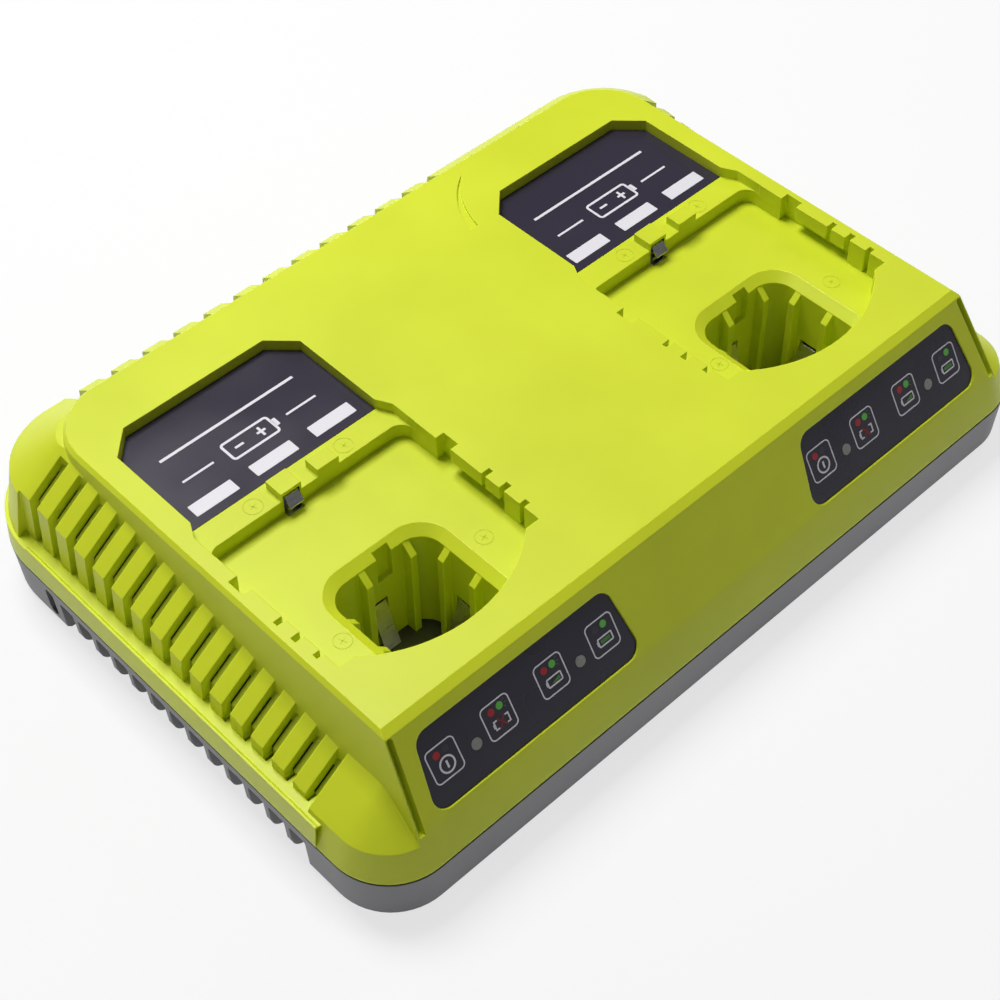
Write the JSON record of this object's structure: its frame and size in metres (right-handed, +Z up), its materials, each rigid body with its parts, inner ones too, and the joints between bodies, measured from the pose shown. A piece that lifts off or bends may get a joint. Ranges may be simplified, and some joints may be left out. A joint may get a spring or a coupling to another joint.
{
  "type": "power tool battery charger",
  "caption": "Twin-bay desktop charger for stem-type power tool batteries, with slatted shoulders, sloping status panels, spring contacts and retaining clips.",
  "frame": {"origin": "centre of the footprint on the table", "axes": "+X to the right along the front, +Y to the back, +Z up"},
  "size_m": [0.2462, 0.1718, 0.051],
  "materials": {
    "lime_plastic": "satin moulded",
    "grey_plastic": "fine texture",
    "label_film": "satin film",
    "panel_film": "satin film",
    "clear_plastic": "translucent",
    "board": "solder mask",
    "spring_steel": "bright",
    "contact_metal": "plated",
    "black_plastic": "moulded",
    "ferrite": "sintered",
    "winding_tape": "tape",
    "copper_wire": "enamelled",
    "capacitor_sleeve": "shrink sleeve",
    "fuse_glass": "clear",
    "plated_brass": "plated",
    "heat_sink_metal": "extruded",
    "ivory_plastic": "moulded",
    "screw_steel": "zinc plated",
    "foot_rubber": "matt"
  },
  "bodies": {
    "housing": {"top_case": "lime_plastic", "battery_tray_left": "lime_plastic", "battery_tray_right": "lime_plastic", "bottom_case": "grey_plastic", "label_plate_left": "label_film", "label_plate_right": "label_film", "status_panel_left": "panel_film", "status_panel_right": "panel_film", "light_pipe_left_a": "clear_plastic", "light_pipe_left_b": "clear_plastic", "light_pipe_right_a": "clear_plastic", "light_pipe_right_b": "clear_plastic", "led_board_left": "board", "led_board_right": "board", "status_leds_left": "clear_plastic", "status_leds_right": "clear_plastic", "contact_blocks_left": "black_plastic", "contact_blocks_right": "black_plastic", "main_board": "board", "transformer_core": "ferrite", "transformer_winding": "winding_tape", "bulk_capacitor": "capacitor_sleeve", "output_capacitors": "capacitor_sleeve", "line_choke": "ferrite", "choke_winding": "copper_wire", "fuse": "fuse_glass", "fuse_clips": "plated_brass", "heat_sink": "heat_sink_metal", "power_transistors": "black_plastic", "board_connectors": "ivory_plastic", "mains_inlet": "black_plastic", "inlet_pins": "plated_brass", "foot_front_left": "foot_rubber", "foot_back_left": "foot_rubber", "foot_front_right": "foot_rubber", "foot_back_right": "foot_rubber", "case_screws": "screw_steel", "board_screws": "screw_steel"},
    "plus_contact_left": {"plus_contact_left": "contact_metal"},
    "minus_contact_left": {"minus_contact_left": "contact_metal"},
    "sense_contact_left": {"sense_contact_left": "contact_metal"},
    "retaining_clip_left": {"retaining_clip_left": "spring_steel"},
    "plus_contact_right": {"plus_contact_right": "contact_metal"},
    "minus_contact_right": {"minus_contact_right": "contact_metal"},
    "sense_contact_right": {"sense_contact_right": "contact_metal"},
    "retaining_clip_right": {"retaining_clip_right": "spring_steel"}
  },
  "joints": [
    {"name": "plus_contact_left_flex", "type": "hinge", "parent": "housing", "child": "plus_contact_left", "pos_m": [-0.0472, -0.0365, 0.005], "axis": [0, 1, 0], "range_deg": [0, 8], "stiffness_Nm_per_rad": 0.3, "springref_deg": -2.86},
    {"name": "minus_contact_left_flex", "type": "hinge", "parent": "housing", "child": "minus_contact_left", "pos_m": [-0.0887, -0.0365, 0.005], "axis": [0, -1, 0], "range_deg": [0, 8], "stiffness_Nm_per_rad": 0.3, "springref_deg": -2.86},
    {"name": "sense_contact_left_flex", "type": "hinge", "parent": "housing", "child": "sense_contact_left", "pos_m": [-0.06745, -0.01685, 0.005], "axis": [-1, 0, 0], "range_deg": [0, 8], "stiffness_Nm_per_rad": 0.3, "springref_deg": -2.86},
    {"name": "retaining_clip_left_flex", "type": "hinge", "parent": "housing", "child": "retaining_clip_left", "pos_m": [-0.0718, 0.00765, 0.0417], "axis": [-1, 0, 0], "range_deg": [0, 12], "stiffness_Nm_per_rad": 0.2, "springref_deg": -2.86},
    {"name": "plus_contact_right_flex", "type": "hinge", "parent": "housing", "child": "plus_contact_right", "pos_m": [0.0868, -0.0365, 0.005], "axis": [0, 1, 0], "range_deg": [0, 8], "stiffness_Nm_per_rad": 0.3, "springref_deg": -2.86},
    {"name": "minus_contact_right_flex", "type": "hinge", "parent": "housing", "child": "minus_contact_right", "pos_m": [0.0453, -0.0365, 0.005], "axis": [0, -1, 0], "range_deg": [0, 8], "stiffness_Nm_per_rad": 0.3, "springref_deg": -2.86},
    {"name": "sense_contact_right_flex", "type": "hinge", "parent": "housing", "child": "sense_contact_right", "pos_m": [0.06655, -0.01685, 0.005], "axis": [-1, 0, 0], "range_deg": [0, 8], "stiffness_Nm_per_rad": 0.3, "springref_deg": -2.86},
    {"name": "retaining_clip_right_flex", "type": "hinge", "parent": "housing", "child": "retaining_clip_right", "pos_m": [0.0622, 0.00765, 0.0417], "axis": [-1, 0, 0], "range_deg": [0, 12], "stiffness_Nm_per_rad": 0.2, "springref_deg": -2.86}
  ]
}
